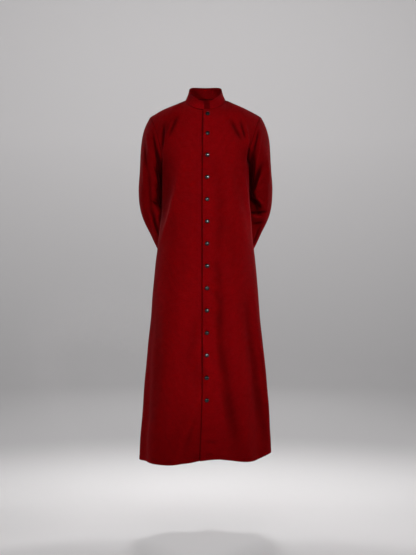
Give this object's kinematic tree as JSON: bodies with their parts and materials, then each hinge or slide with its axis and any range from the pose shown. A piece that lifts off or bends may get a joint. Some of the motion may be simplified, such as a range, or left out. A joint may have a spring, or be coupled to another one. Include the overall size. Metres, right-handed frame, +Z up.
{
  "type": "cassock",
  "caption": "Full-length front-buttoning robe with a stand collar and long sleeves, hollow, in its worn form with the sleeves bent behind the back.",
  "frame": {"origin": "midway between the two points where a shoulder seam meets the collar seam, where the wearer's shoulders carry the garment", "axes": "+Z up, the front faces -Y, +X towards the wearer's left"},
  "size_m": [0.5308, 0.4062, 1.4528],
  "materials": {
    "cloth": "matte woven cloth with a faint sheen",
    "button": "glossy"
  },
  "bodies": {
    "root": {"front_left": "cloth", "front_right": "cloth", "back": "cloth", "sleeve_left": "cloth", "sleeve_right": "cloth", "collar": "cloth", "button_01": "button", "button_02": "button", "button_03": "button", "button_04": "button", "button_05": "button", "button_06": "button", "button_07": "button", "button_08": "button", "button_09": "button", "button_10": "button", "button_11": "button", "button_12": "button", "button_13": "button", "button_14": "button"}
  },
  "joints": []
}
